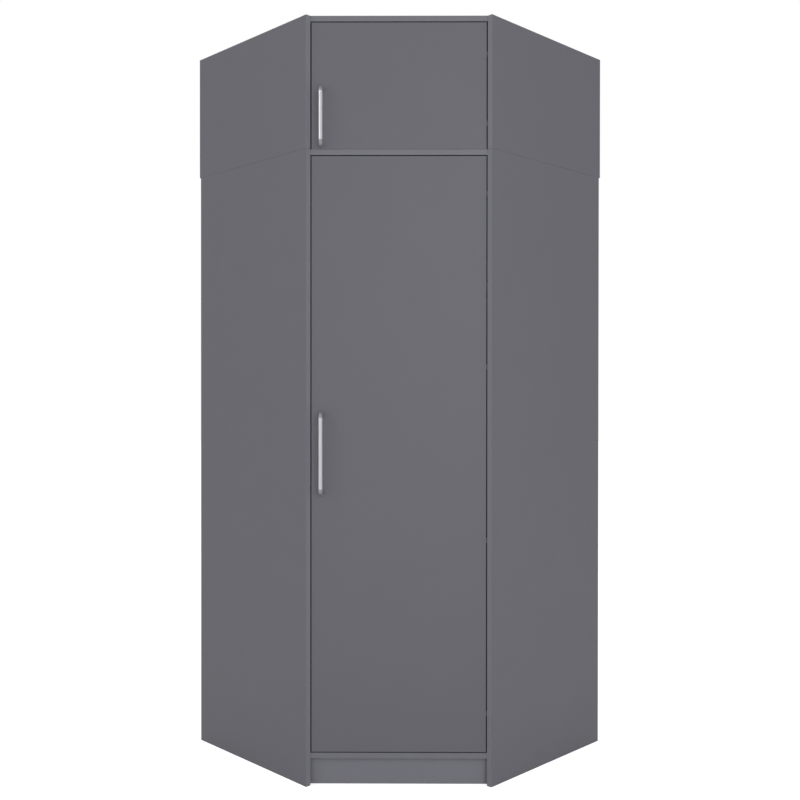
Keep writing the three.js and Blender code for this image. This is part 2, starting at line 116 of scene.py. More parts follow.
class Wiring:
    """Adds and joins the nodes of one node tree."""

    def __init__(self, tree: bpy.types.NodeTree) -> None:
        """Keeps the tree."""
        self.tree = tree

    def add(self, kind: str, feeds: dict | None = None, **settings: object) -> bpy.types.Node:
        """Adds a node.

        Args:
            kind: The node's type.
            feeds: For each input, by name or place, a socket to join or a value to set.
            **settings: Properties of the node.

        Returns:
            The new node.
        """
        node = self.tree.nodes.new(kind)
        for key, value in settings.items():
            setattr(node, key, value)
        self.join(node, feeds or {})
        return node

    def join(self, node: bpy.types.Node, feeds: dict) -> None:
        """Feeds a node's inputs.

        Args:
            node: The node.
            feeds: For each input, by name or place, a socket to join or a value to set.
        """
        for key, value in feeds.items():
            if isinstance(value, Socket):
                self.tree.links.new(value, node.inputs[key])
            else:
                node.inputs[key].default_value = value

    def math(self, operation: str, *values: Socket | float, clamp: bool = False) -> Socket:
        """Adds a Math node, held between 0 and 1 if clamped, and returns its result."""
        feeds = dict(enumerate(values))
        return self.add("ShaderNodeMath", feeds, operation=operation, use_clamp=clamp).outputs[0]

    def product(self, first: Socket | float, *others: Socket | float) -> Socket:
        """Multiplies values.

        Args:
            first: The first value.
            *others: One or more values to multiply it by, in order.

        Returns:
            The product's socket.
        """
        for other in others:
            first = self.math("MULTIPLY", first, other)
        return first

    def swing(self, value: Socket, depth: Socket | float) -> Socket:
        """Turns a value about 0.5 into a swing about 0 of that depth."""
        return self.math("MULTIPLY", self.math("SUBTRACT", value, 0.5), depth)

    def vector(self, operation: str, *values: Socket | Colour, output: str = "Vector") -> Socket:
        """Adds a Vector Math node and returns its output."""
        feeds = dict(enumerate(values))
        return self.add("ShaderNodeVectorMath", feeds, operation=operation).outputs[output]

    def shade(self, colour: Colour, tone: Socket) -> Socket:
        """Scales a colour by a tone and returns the colour's socket."""
        feeds = {0: colour, "Scale": tone}
        return self.add("ShaderNodeVectorMath", feeds, operation="SCALE").outputs["Vector"]

    def spread(self, value: Socket, source: Span, target: Span) -> Socket:
        """Maps a value from one span to another, held at the ends."""
        feeds = {0: value, 1: source[0], 2: source[1], 3: target[0], 4: target[1]}
        return self.add("ShaderNodeMapRange", feeds).outputs[0]

    def mix(self, share: Socket, first: Socket | Colour, second: Socket | Colour) -> Socket:
        """Mixes two colours.

        Args:
            share: The second colour's share.
            first: The first colour.
            second: The second colour.

        Returns:
            The mixed colour's socket.
        """
        first, second = (value if isinstance(value, Socket) else (*value, 1.0)
                         for value in (first, second))
        feeds = {"Factor": share, 6: first, 7: second}
        return self.add("ShaderNodeMix", feeds, data_type="RGBA").outputs[2]

    def noise(self, where: Socket, scale: Socket | float, detail: float,
              roughness: float = 0.5) -> Socket:
        """Adds a noise texture and returns its value's socket."""
        feeds = {"Vector": where, "Scale": scale, "Detail": detail, "Roughness": roughness}
        return self.add("ShaderNodeTexNoise", feeds).outputs[0]

    def place(self) -> Socket:
        """The Object coordinates of the surface."""
        return self.add("ShaderNodeTexCoord").outputs["Object"]

    def attribute(self, name: str) -> Socket:
        """The value of a piece's own attribute, 0 where it has none."""
        return self.add("ShaderNodeAttribute", attribute_name=name).outputs["Fac"]


class GroupTree:
    """A node group with named inputs and outputs."""

    def __init__(self, name: str, kind: str, inputs: dict, outputs: dict) -> None:
        """Makes the group and its interface.

        Args:
            name: The group's name.
            kind: The node tree's type.
            inputs: For each input's name, its socket type and default value.
            outputs: For each output's name, its socket type.
        """
        self.tree = bpy.data.node_groups.new(name, kind)
        sockets = self.tree.interface
        for label, (socket_type, default) in inputs.items():
            socket = sockets.new_socket(name=label, in_out="INPUT", socket_type=socket_type)
            if default is not None:
                socket.default_value = default
        for label, socket_type in outputs.items():
            sockets.new_socket(name=label, in_out="OUTPUT", socket_type=socket_type)
        self.wiring = Wiring(self.tree)
        self.start = self.tree.nodes.new("NodeGroupInput").outputs
        self.end = self.tree.nodes.new("NodeGroupOutput")

    def identifier(self, label: str) -> str:
        """The identifier of the input with that name."""
        return self.tree.interface.items_tree[label].identifier


FLOAT = "NodeSocketFloat"
VECTOR = "NodeSocketVector"
INTEGER = "NodeSocketInt"
SHADER_TREE = "ShaderNodeTree"


class SurfaceEffects:
    """The shader groups that more than one finish uses.

    Attributes:
        CELL_SCALE: Scale of a board face's cells against its pearl.
        PEARL_RELIEF: Weight of the pearl in the face's relief.
        CELL_RELIEF: Weight of the cells in it.
        FINE_TONE: Depth of the pearl's tone against the slow changes.
        BOARD_POLISH: Swing of the face's roughness.
        DUST_PATCHES: Noise values over which dust thickens.
        DUST_COVER: How thick it lies there.
        DUST_SLOPES: Z of the normal over which dust begins to lie.
        LINE_POLISH: Swing of a metal's roughness along its lines.
        MARK_TONE: Swing of its tone where it was handled.
    """

    CELL_SCALE = 0.55
    PEARL_RELIEF = 0.6
    CELL_RELIEF = 0.5
    FINE_TONE = 0.9
    BOARD_POLISH = 0.16
    DUST_PATCHES: Span = (0.35, 0.75)
    DUST_COVER: Span = (0.35, 1.0)
    DUST_SLOPES: Span = (0.6, 0.95)
    LINE_POLISH = 0.08
    MARK_TONE = 0.12

    def __init__(self) -> None:
        """Builds the groups once."""
        self.pressed = self._pressed_texture()
        self.dust = self._dust()
        self.drawn = self._drawn_metal()

    def _pressed_texture(self) -> bpy.types.NodeTree:
        """The fine pearl of a pressed board face, with slow changes of tone.

        Returns:
            The group, which puts out tone, relief and polish.
        """
        inputs = {"Pearl Scale": (FLOAT, 900.0), "Tone Scale": (FLOAT, 6.0),
                  "Tone Depth": (FLOAT, 0.03)}
        outputs = {"Tone": FLOAT, "Relief": FLOAT, "Polish": FLOAT}
        group = GroupTree("pressed_texture", SHADER_TREE, inputs, outputs)
        w, start = group.wiring, group.start
        place = w.place()
        pearl = w.noise(place, start["Pearl Scale"], detail=2.0, roughness=0.45)
        cell_feeds = {"Vector": place, "Scale": w.product(start["Pearl Scale"], self.CELL_SCALE)}
        cells = w.add("ShaderNodeTexVoronoi", cell_feeds, feature="SMOOTH_F1").outputs["Distance"]
        cloud = w.noise(place, start["Tone Scale"], detail=4.0, roughness=0.6)
        fine = w.swing(pearl, w.product(start["Tone Depth"], self.FINE_TONE))
        slow = w.swing(cloud, start["Tone Depth"])
        w.join(group.end, {
            "Tone": w.math("ADD", 1.0, w.math("ADD", slow, fine)),
            "Relief": w.math("ADD", w.product(pearl, self.PEARL_RELIEF),
                             w.product(cells, self.CELL_RELIEF)),
            "Polish": w.swing(w.noise(place, scale=11.0, detail=5.0), self.BOARD_POLISH),
        })
        return group.tree

    def _dust(self) -> bpy.types.NodeTree:
        """A thin film of dust on what faces up.

        Returns:
            The group, which puts out the dust's mask.
        """
        inputs, outputs = {"Amount": (FLOAT, 0.2)}, {"Mask": FLOAT}
        group = GroupTree("settled_dust", SHADER_TREE, inputs, outputs)
        w = group.wiring
        normal = w.add("ShaderNodeNewGeometry").outputs["Normal"]
        up = w.add("ShaderNodeSeparateXYZ", {0: normal}).outputs[2]
        patches = w.noise(w.place(), scale=14.0, detail=6.0, roughness=0.65)
        cloud = w.spread(patches, self.DUST_PATCHES, self.DUST_COVER)
        level = w.spread(up, self.DUST_SLOPES, UNIT)
        w.join(group.end, {"Mask": w.product(level, cloud, group.start["Amount"])})
        return group.tree

    def _drawn_metal(self) -> bpy.types.NodeTree:
        """Fine lines and handling marks of drawn, rolled or polished metal.

        Returns:
            The group, which puts out relief, polish and tone.
        """
        inputs = {"Line Stretch": (VECTOR, (900.0, 900.0, 18.0)), "Mark Depth": (FLOAT, 0.1)}
        outputs = {"Relief": FLOAT, "Polish": FLOAT, "Tone": FLOAT}
        group = GroupTree("drawn_metal", SHADER_TREE, inputs, outputs)
        w, start = group.wiring, group.start
        place = w.place()
        stretched = w.vector("MULTIPLY", place, start["Line Stretch"])
        lines = w.noise(stretched, scale=1.0, detail=3.0, roughness=0.6)
        marks = w.noise(place, scale=55.0, detail=4.0, roughness=0.6)
        w.join(group.end, {
            "Relief": lines,
            "Polish": w.math("ADD", w.swing(marks, start["Mark Depth"]),
                             w.swing(lines, self.LINE_POLISH)),
            "Tone": w.math("ADD", 1.0, w.swing(marks, self.MARK_TONE)),
        })
        return group.tree


EFFECTS = SurfaceEffects()


def blank_wiring(owner: bpy.types.Material | bpy.types.World) -> Wiring:
    """Empties the node tree of a material or world.

    Args:
        owner: The material or world.

    Returns:
        The wiring of its tree.
    """
    owner.use_nodes = True
    owner.node_tree.nodes.clear()
    return Wiring(owner.node_tree)


@dataclass(frozen=True)
class Finish:
    """A surface finish, as one material.

    Args:
        label: The material's name.
        slot: The record's slot that it stands for.
        colour: Base colour, linear.
        roughness: Mean roughness.
        metallic: 0 for board and paint, 1 for metal.
    """

    label: str
    slot: Slot
    colour: Colour
    roughness: float
    metallic: float = 0.0

    def material(self) -> bpy.types.Material:
        """Gives the finish's material, made at its first use.

        Returns:
            The material.
        """
        found = bpy.data.materials.get(self.label)
        if found:
            return found
        made = bpy.data.materials.new(self.label)
        w = blank_wiring(made)
        shader = w.add("ShaderNodeBsdfPrincipled", {"Metallic": self.metallic})
        self.paint(w, shader)
        w.add("ShaderNodeOutputMaterial", {"Surface": shader.outputs[0]})
        return made

    def paint(self, w: Wiring, shader: bpy.types.Node) -> None:
        """Feeds the shader's sockets."""
        raise NotImplementedError

    @staticmethod
    def emboss(w: Wiring, relief: Socket, depth: float) -> Socket:
        """Turns a relief of that depth into a normal."""
        feeds = {"Height": relief, "Distance": depth, "Strength": 1.0}
        return w.add("ShaderNodeBump", feeds).outputs[0]


DUST_COLOUR: Colour = (0.42, 0.41, 0.39)


@dataclass(frozen=True)
class BoardFinish(Finish):
    """Melamine faced chipboard with edge bands, and bare core where no band is glued.

    Args:
        band_lift: How much lighter the banded narrow faces are painted than the face: painted light
            that lifts them out of their shade.
        band_roughness: The band's roughness.
        core: Colour of the bare chipboard.
        core_dark: Colour of its dark particles.
        core_roughness: The core's roughness.
        chip_scale: Scale of the chips in the core.
        chip_span: Cell values over which a chip goes from light to dark.
        grain_scale: Scale of the core's grain.
        pit_depth: Depth of the core's pits against the face's relief.
        relief_depth: Depth of the face's relief.
        dust: How much dust lies on what faces up.
        dust_roughness: How much rougher dust makes the face.
        specular: Specular level of the shader.
    """

    band_lift: float = 1.32
    band_roughness: float = 0.45
    core: Colour = (0.43, 0.30, 0.17)
    core_dark: Colour = (0.16, 0.09, 0.045)
    core_roughness: float = 0.9
    chip_scale: float = 420.0
    chip_span: Span = (0.25, 0.75)
    grain_scale: float = 260.0
    pit_depth: float = 3.0
    relief_depth: float = 0.00006
    dust: float = 0.10
    dust_roughness: float = 0.8
    specular: float = 0.4

    def paint(self, w: Wiring, shader: bpy.types.Node) -> None:
        """Feeds colour, roughness and normal.

        Args:
            w: The material's wiring.
            shader: Its shader.
        """
        band, core, painted_light_and_shade = (w.attribute(name) for name in ("band", "core", "tone"))
        pressed = w.add("ShaderNodeGroup", node_tree=EFFECTS.pressed).outputs
        dust = w.add("ShaderNodeGroup", {"Amount": self.dust}, node_tree=EFFECTS.dust).outputs[0]
        # Painted light and shade: each board's painted tone, painted shade at the joint and on
        # narrow faces, and painted light on banded faces.
        lift = w.product(painted_light_and_shade, w.spread(band, UNIT, (1.0, self.band_lift)))
        face = w.shade(self.colour, w.product(pressed["Tone"], lift))
        place = w.place()
        chip_feeds = {"Vector": place, "Scale": self.chip_scale, "Randomness": 1.0}
        chips = w.add("ShaderNodeTexVoronoi", chip_feeds).outputs["Color"]
        grain = w.noise(place, self.grain_scale, detail=4.0, roughness=0.7)
        dark = w.math("MULTIPLY", w.spread(chips, self.chip_span, UNIT), grain, clamp=True)
        bare = w.mix(dark, self.core, self.core_dark)
        smooth = w.spread(band, UNIT, (self.roughness, self.band_roughness))
        worn = w.math("ADD", w.math("ADD", smooth, pressed["Polish"]),
                      w.product(dust, self.dust_roughness))
        pits = w.product(core, grain, self.pit_depth)
        w.join(shader, {
            "Base Color": w.mix(core, w.mix(dust, face, DUST_COLOUR), bare),
            "Roughness": w.math("MAXIMUM", worn, w.product(core, self.core_roughness), clamp=True),
            "Normal": self.emboss(w, w.math("ADD", pressed["Relief"], pits), self.relief_depth),
            "Specular IOR Level": self.specular,
        })


@dataclass(frozen=True)
class HardboardFinish(Finish):
    """Hardboard back: coated inside, raw brown and slightly fibrous outside.

    Args:
        raw: Colour of the raw outer face.
        raw_dark: Colour of its darker fibres.
        raw_roughness: The raw face's roughness.
        outward_span: Y of the normal over which a face goes from coated to raw.
        pearl_scale: Scale of the coat's pearl.
        tone_depth: Depth of the coat's changes of tone.
        fibre_scale: Scale of the fibres.
        fibre_share: Weight of the fibres in the brown.
        cloud_scale: Scale of the brown's slow changes.
        cloud_share: Weight of those changes.
        dark_span: Values over which the brown goes from light to dark.
        fibre_depth: Depth of the fibres against the coat's relief.
        relief_depth: Depth of the coat's relief.
    """

    raw: Colour = (0.30, 0.175, 0.085)
    raw_dark: Colour = (0.19, 0.10, 0.045)
    raw_roughness: float = 0.72
    outward_span: Span = (0.0, 0.1)
    pearl_scale: float = 1400.0
    tone_depth: float = 0.05
    fibre_scale: float = 160.0
    fibre_share: float = 0.85
    cloud_scale: float = 9.0
    cloud_share: float = 0.25
    dark_span: Span = (0.30, 0.80)
    fibre_depth: float = 2.0
    relief_depth: float = 0.00008

    def paint(self, w: Wiring, shader: bpy.types.Node) -> None:
        """Feeds colour, roughness and normal.

        Args:
            w: The material's wiring.
            shader: Its shader.
        """
        coat_feeds = {"Pearl Scale": self.pearl_scale, "Tone Depth": self.tone_depth}
        coat = w.add("ShaderNodeGroup", coat_feeds, node_tree=EFFECTS.pressed).outputs
        place = w.place()
        normal = w.add("ShaderNodeNewGeometry").outputs["True Normal"]
        rearward = w.vector("DOT_PRODUCT", normal, (0.0, 1.0, 0.0), output="Value")
        outward = w.spread(rearward, self.outward_span, UNIT)
        fibre = w.noise(place, self.fibre_scale, detail=6.0, roughness=0.75)
        cloud = w.noise(place, self.cloud_scale, detail=6.0, roughness=0.75)
        share = w.math("ADD", w.product(fibre, self.fibre_share),
                       w.product(cloud, self.cloud_share))
        brown = w.mix(w.spread(share, self.dark_span, UNIT), self.raw, self.raw_dark)
        smooth = w.spread(outward, UNIT, (self.roughness, self.raw_roughness))
        hairs = w.product(fibre, outward, self.fibre_depth)
        w.join(shader, {
            "Base Color": w.mix(outward, w.shade(self.colour, coat["Tone"]), brown),
            "Roughness": w.math("ADD", smooth, coat["Polish"]),
            "Normal": self.emboss(w, w.math("ADD", coat["Relief"], hairs), self.relief_depth),
        })


@dataclass(frozen=True)
class MetalFinish(Finish):
    """Plated or polished metal with fine drawn lines, handling marks and satin parts.

    Args:
        stretch: Scale of the lines along X, Y and Z.
        line_depth: Depth of the lines' relief.
        mark_depth: Swing of the roughness where it was handled.
        satin_tone: How light satin faces are against bright ones.
        satin_roughness: How much rougher they are.
        dust: How much dust lies on what faces up.
    """

    stretch: Colour = (900.0, 900.0, 18.0)
    line_depth: float = 0.00001
    mark_depth: float = 0.1
    satin_tone: float = 0.58
    satin_roughness: float = 0.2
    dust: float = 0.12

    def paint(self, w: Wiring, shader: bpy.types.Node) -> None:
        """Feeds colour, roughness and normal.

        Args:
            w: The material's wiring.
            shader: Its shader.
        """
        feeds = {"Line Stretch": self.stretch, "Mark Depth": self.mark_depth}
        drawn = w.add("ShaderNodeGroup", feeds, node_tree=EFFECTS.drawn).outputs
        dust = w.add("ShaderNodeGroup", {"Amount": self.dust}, node_tree=EFFECTS.dust).outputs[0]
        satin = w.attribute("satin")
        tone = w.product(drawn["Tone"], w.spread(satin, UNIT, (1.0, self.satin_tone)))
        dull = (self.roughness, self.roughness + self.satin_roughness)
        rough = w.spread(satin, UNIT, dull)
        w.join(shader, {
            "Base Color": w.mix(dust, w.shade(self.colour, tone), DUST_COLOUR),
            "Roughness": w.math("ADD", rough, drawn["Polish"], clamp=True),
            "Normal": self.emboss(w, drawn["Relief"], self.line_depth),
        })


BOARD = BoardFinish("graphite_melamine", Slot.BOARD, (0.1240, 0.1230, 0.1425), roughness=0.5)
HARDBOARD = HardboardFinish("coated_hardboard", Slot.HARDBOARD, (0.17, 0.17, 0.185), roughness=0.6)
HANDLE = MetalFinish("satin_chrome", Slot.HANDLE, (0.66, 0.66, 0.68), roughness=0.36, metallic=0.8)
RAIL = MetalFinish("bright_chrome", Slot.RAIL, (0.72, 0.73, 0.75), roughness=0.12, metallic=1.0,
                   stretch=(12.0, 700.0, 700.0))
HINGE = MetalFinish("nickel_plate", Slot.HINGE, (0.50, 0.50, 0.49), roughness=0.3, metallic=1.0,
                    stretch=(300.0, 300.0, 300.0), line_depth=0.00002)
ZINC = MetalFinish("zinc_plate", Slot.ZINC, (0.56, 0.58, 0.60), roughness=0.38, metallic=1.0,
                   stretch=(240.0, 240.0, 240.0), line_depth=0.00003, mark_depth=0.2)
BY_SLOT = {each.slot.value: each for each in (BOARD, HARDBOARD, HANDLE, RAIL, HINGE, ZINC)}


def link_object(name: str, data: bpy.types.ID) -> bpy.types.Object:
    """Makes an object in the scene.

    Args:
        name: Its name.
        data: Its mesh, camera or light.

    Returns:
        The object.
    """
    made = bpy.data.objects.new(name, data)
    bpy.context.scene.collection.objects.link(made)
    return made


def settle(piece: bpy.types.Object, finish: Finish, body: str,
           stands_for: Sequence[str] = ()) -> bpy.types.Object:
    """Gives a piece its finish and body, and reports it.

    Args:
        piece: The piece, whose place is in its vertices.
        finish: Its finish.
        body: The body that it rides on.
        stands_for: The CAD nodes that it replaces.

    Returns:
        The piece.
    """
    piece.data.materials.clear()
    piece.data.materials.append(finish.material())
    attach(piece, body)
    if stands_for:
        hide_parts(*stands_for)
    LOG.info("%s: %d faces on %s", piece.name, len(piece.data.polygons), body)
    return piece


def body_of_node(node: str) -> str:
    """The body that a CAD node rides on."""
    return frame["nodes"][node]["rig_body"]


def slanted(x: int, y: int) -> Vector:
    """The level unit vector at 45 degrees whose X and Y have those signs."""
    return Vector((x * DIAGONAL, y * DIAGONAL, 0.0))


def open_node(node: str) -> bmesh.types.BMesh:
    """Copies a CAD node's shape, with its triangles merged to whole faces.

    Args:
        node: The CAD node.

    Returns:
        The copy.
    """
    shape = bmesh.new()
    shape.from_mesh(frame["nodes"][node].data)
    bmesh.ops.remove_doubles(shape, verts=shape.verts, dist=WELD)
    bmesh.ops.dissolve_limit(shape, angle_limit=FLAT_ANGLE, verts=shape.verts, edges=shape.edges)
    return shape


def ease_edges(shape: bmesh.types.BMesh, over: float, width: float, segments: int) -> None:
    """Rounds the outer edges of a shape.

    Args:
        shape: The shape.
        over: Angle over which an edge is rounded.
        width: Width of the rounding.
        segments: Faces across it.
    """
    edges = [e for e in shape.edges
             if len(e.link_faces) == 2 and e.is_convex and e.calc_face_angle(0.0) > over]
    bmesh.ops.bevel(shape, geom=edges, offset=width, segments=segments, profile=ROUND_PROFILE,
                    affect="EDGES", clamp_overlap=True)


def close_shape(shape: bmesh.types.BMesh, name: str) -> bpy.types.Mesh:
    """Turns a shape into a mesh of that name and frees it.

    Args:
        shape: The shape.
        name: The mesh's name.

    Returns:
        The mesh.
    """
    mesh = bpy.data.meshes.new(name)
    shape.to_mesh(mesh)
    shape.free()
    return mesh


@dataclass
class Board:
    """One board: its CAD shape with eased edges, banded or bare at each narrow face.

    Args:
        node: The CAD node.
        is_face: Tells a face side from a narrow one by its normal.
        is_bare: Tells whether a narrow face, by its centre and normal, shows the core.
        tone: How light this board is against the others: painted light above 1, painted shade
            below.
        edge_tone: Painted shade on its narrow faces, as a factor on their lightness.
        foot_drop: How far the board's foot is let down.
        joint: Height of a joint with the other storey, whose eased edges are painted darker as
            shade.
        joint_shade: How dark that painted shade makes those edges.
        easing: Radius of the eased edges.
        easing_segments: Faces across an eased edge.
        corner_angle: Angle over which an edge is eased.
        parallel: Cosine over which two normals are the same.
    """

    node: str
    is_face: Callable[[Vector], bool]
    is_bare: Callable[[Vector, Vector], bool]
    tone: float = 1.0
    edge_tone: float = 1.0
    foot_drop: float = 0.0
    joint: float = -1.0
    joint_shade: float = 0.3
    easing: float = 0.5 * MM
    easing_segments: int = 2
    corner_angle: float = math.radians(30)
    parallel: float = 0.9998

    def eased_mesh(self) -> bpy.types.Mesh:
        """Eases the outer edges of the node's shape and marks its faces.

        Returns:
            The board's mesh.
        """
        shape = open_node(self.node)
        foot = min(v.co.z for v in shape.verts) + WELD
        for vert in shape.verts:
            vert.co.z -= self.foot_drop * (vert.co.z < foot)
        flats = [f.normal.copy() for f in shape.faces]
        ease_edges(shape, self.corner_angle, self.easing, self.easing_segments)
        band, core, tone = (shape.faces.layers.float.new(name) for name in ("band", "core", "tone"))
        for face in shape.faces:
            centre = face.calc_center_median()
            eased = all(face.normal.dot(flat) < self.parallel for flat in flats)
            side = not eased and self.is_face(face.normal)
            bare = not eased and not side and self.is_bare(centre, face.normal)
            face.smooth = eased
            face[band] = float(not side and not bare)
            face[core] = float(bare)
            # Painted shade: eased edges at the storeys' joint are darkened; the tone attribute
            # carries each board's painted light and shade.
            jointed = eased and abs(centre.z - self.joint) < 2 * self.easing
            shade = self.joint_shade if jointed else 1.0
            face[tone] = self.tone * shade * (1.0 if eased or side else self.edge_tone)
        return close_shape(shape, f"{self.node}_board")

    def build(self) -> bpy.types.Object:
        """Makes the dressed board in the node's place."""
        piece = link_object(f"{self.node}_board", self.eased_mesh())
        return settle(piece, BOARD, body_of_node(self.node), [self.node])


@dataclass
class Carcass:
    """Side panels, level boards, corner stiles, doors and plinth of both storeys.

    Args:
        straight: Cosine above which a normal counts as lying along an axis.
        facing: Cosine above which a normal counts as facing a way.
        panel_tone: How light the side panels are painted, as painted light.
        plinth_tone: How light the plinth board is painted: painted light that lifts it out of the
            shade under the bottom panel and by the floor.
        shelf_edge_tone: How light the narrow faces of the level boards are: painted shade that
            tempers their painted band light.
        door_tone: How light the doors are: painted shade that darkens them.
        door_edge_tone: How light the doors' narrow faces are: painted shade for the gaps that they
            face.
        door_margin: Width of a door's rim, in which no boring lies.
        upper_door_drop: How far the upper door's foot is let down.
    """

    straight: float = 0.99
    facing: float = 0.5
    panel_tone: float = 1.06
    plinth_tone: float = 1.36
    shelf_edge_tone: float = 0.92
    door_tone: float = 0.96
    door_edge_tone: float = 0.7
    door_margin: float = 3 * MM
    upper_door_drop: float = 1 * MM

    def side_panel(self, storey: Storey, hand: Hand) -> Board:
        """A side panel: its front end and top are banded, its rear, foot and borings are bare.

        Args:
            storey: Its storey.
            hand: Its side.

        Returns:
            The board.
        """
        across, front = slanted(hand.value, -1), slanted(-hand.value, -1)
        return Board(
            f"{storey.value}_side_{hand.word}",
            lambda n: abs(n.dot(across)) > self.straight,
            lambda c, n: n.dot(front) < self.facing and n.z < self.facing,
            tone=self.panel_tone,
            joint=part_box("upper_side_left")[0].z,
        )

    def level_board(self, node: str) -> Board:
        """A level board: only its front edge is banded."""
        return Board(node, lambda n: abs(n.z) > self.straight, lambda c, n: n.y > -self.facing,
                     edge_tone=self.shelf_edge_tone)

    def stile(self, storey: Storey, hand: Hand) -> Board:
        """A corner stile: the edge away from the room corner is banded.

        Args:
            storey: Its storey.
            hand: Its side.

        Returns:
            The board.
        """
        across, away = slanted(hand.value, 1), slanted(hand.value, -1)
        return Board(
            f"{storey.value}_corner_stile_{hand.word}",
            lambda n: abs(n.dot(across)) > self.straight,
            lambda c, n: n.dot(away) < self.facing,
        )

    def plinth(self) -> Board:
        """The plinth board: its ends are banded, its top and foot are bare."""
        return Board("plinth_board", lambda n: abs(n.y) > self.straight,
                     lambda c, n: abs(n.z) > self.facing, tone=self.plinth_tone)

    def door(self, storey: Storey) -> Board:
        """A door leaf: all four edges are banded, its borings are bare.

        Args:
            storey: Its storey.

        Returns:
            The board.
        """
        node, rim = f"{storey.value}_door", self.door_margin
        low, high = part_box(node)
        return Board(
            node,
            lambda n: abs(n.y) > self.straight,
            lambda c, n: low.x + rim < c.x < high.x - rim and low.z + rim < c.z < high.z - rim,
            tone=self.door_tone,
            edge_tone=self.door_edge_tone,
            foot_drop=self.upper_door_drop if storey is Storey.UPPER else 0.0,
        )

    def build(self) -> None:
        """Makes all the boards."""
        boards = [self.plinth(), self.level_board("lower_bottom_panel"),
                  self.level_board("hat_shelf")]
        for storey in Storey:
            boards += [self.level_board(f"{storey.value}_top_panel"), self.door(storey)]
            for hand in Hand:
                boards += [self.side_panel(storey, hand), self.stile(storey, hand)]
        for board in boards:
            board.build()


def points_mesh(name: str, points: Iterable[Vector],
                edges: Sequence[tuple[int, int]] = ()) -> bpy.types.Mesh:
    """Makes a mesh of bare points, or of a line through them.

    Args:
        name: The mesh's name.
        points: The points.
        edges: Pairs of points to join.

    Returns:
        The mesh.
    """
    mesh = bpy.data.meshes.new(name)
    mesh.from_pydata([tuple(p) for p in points], edges, [])
    return mesh


class GeometryTree(GroupTree):
    """A geometry tree that starts from a mesh and ends in real faces of one finish."""

    GEOMETRY = "NodeSocketGeometry"

    def __init__(self, name: str, inputs: dict) -> None:
        """Makes the group.

        Args:
            name: The group's name.
            inputs: For each input's name but Geometry and Finish, its type and default value.
        """
        ends = {"Geometry": (self.GEOMETRY, None), "Finish": ("NodeSocketMaterial", None)}
        super().__init__(name, "GeometryNodeTree", {**ends, **inputs}, {"Geometry": self.GEOMETRY})

    def close(self, geometry: Socket) -> None:
        """Makes instances real, sets the finish and joins the output.

        Args:
            geometry: The geometry to put out.
        """
        w = self.wiring
        real = w.add("GeometryNodeRealizeInstances", {0: geometry}).outputs[0]
        feeds = {"Geometry": real, "Material": self.start["Finish"]}
        w.join(self.end, {"Geometry": w.add("GeometryNodeSetMaterial", feeds).outputs[0]})

    def grow(self, name: str, mesh: bpy.types.Mesh, values: dict,
             finish: Finish) -> bpy.types.Object:
        """Runs the tree on a mesh and keeps the result as a plain mesh.

        Args:
            name: The piece's name.
            mesh: The mesh that the tree starts from.
            values: The tree's named inputs.
            finish: The finish that the tree sets.

        Returns:
            The object with the tree's result.
        """
        piece = link_object(name, mesh)
        modifier = piece.modifiers.new("grow", "NODES")
        modifier.node_group = self.tree
        for label, value in {**values, "Finish": finish.material()}.items():
            modifier[self.identifier(label)] = value
        piece.update_tag()
        bpy.context.view_layer.update()
        graph = bpy.context.evaluated_depsgraph_get()
        made = bpy.data.meshes.new_from_object(piece.evaluated_get(graph), depsgraph=graph)
        piece.modifiers.clear()
        piece.data = made
        return piece


class StudTree(GeometryTree):
    """Heads of screws, nails and cams: a low cone on each point, with a cross recess."""

    def __init__(self) -> None:
        """Builds the tree."""
        super().__init__("stud_heads", {
            "Head Radius": (FLOAT, 3.5 * MM),
            "Head Height": (FLOAT, 1.5 * MM),
            "Crown Share": (FLOAT, 0.75),
            "Sides": (INTEGER, 24),
            "Drive Length": (FLOAT, 3.6 * MM),
            "Drive Width": (FLOAT, 0.9 * MM),
            "Drive Depth": (FLOAT, 0.8 * MM),
            "Facing": (VECTOR, (0.0, 0.0, 0.0)),
            "Seed": (INTEGER, 1),
        })
        w, start = self.wiring, self.start
        head = w.add("GeometryNodeMeshCone", {
            "Vertices": start["Sides"],
            "Radius Top": w.product(start["Head Radius"], start["Crown Share"]),
            "Radius Bottom": start["Head Radius"],
            "Depth": start["Head Height"],
        }).outputs["Mesh"]
        cut = w.add("GeometryNodeMeshBoolean", {"Mesh 1": head},
                    operation="DIFFERENCE", solver="EXACT")
        lift = self.triple({2: start["Head Height"]})
        long, wide = start["Drive Length"], start["Drive Width"]
        deep = w.product(start["Drive Depth"], 2.0)
        for size in ((long, wide, deep), (wide, long, deep)):
            bar = w.add("GeometryNodeMeshCube", {"Size": self.triple(dict(enumerate(size)))})
            feeds = {"Geometry": bar.outputs["Mesh"], "Translation": lift}
            w.join(cut, {"Mesh 2": w.add("GeometryNodeTransform", feeds).outputs[0]})
        spin = w.add("FunctionNodeRandomValue", {3: math.tau, "Seed": start["Seed"]},
                     data_type="FLOAT").outputs[1]
        twist = w.add("FunctionNodeEulerToRotation", {0: self.triple({2: spin})}).outputs[0]
        facing = w.add("FunctionNodeEulerToRotation", {0: start["Facing"]}).outputs[0]
        turn = w.add("FunctionNodeRotateRotation", {0: facing, 1: twist}, rotation_space="LOCAL")
        feeds = {"Points": start["Geometry"], "Instance": cut.outputs["Mesh"],
                 "Rotation": turn.outputs[0]}
        self.close(w.add("GeometryNodeInstanceOnPoints", feeds).outputs[0])

    def triple(self, feeds: dict) -> Socket:
        """A vector of up to three fed values."""
        return self.wiring.add("ShaderNodeCombineXYZ", feeds).outputs[0]


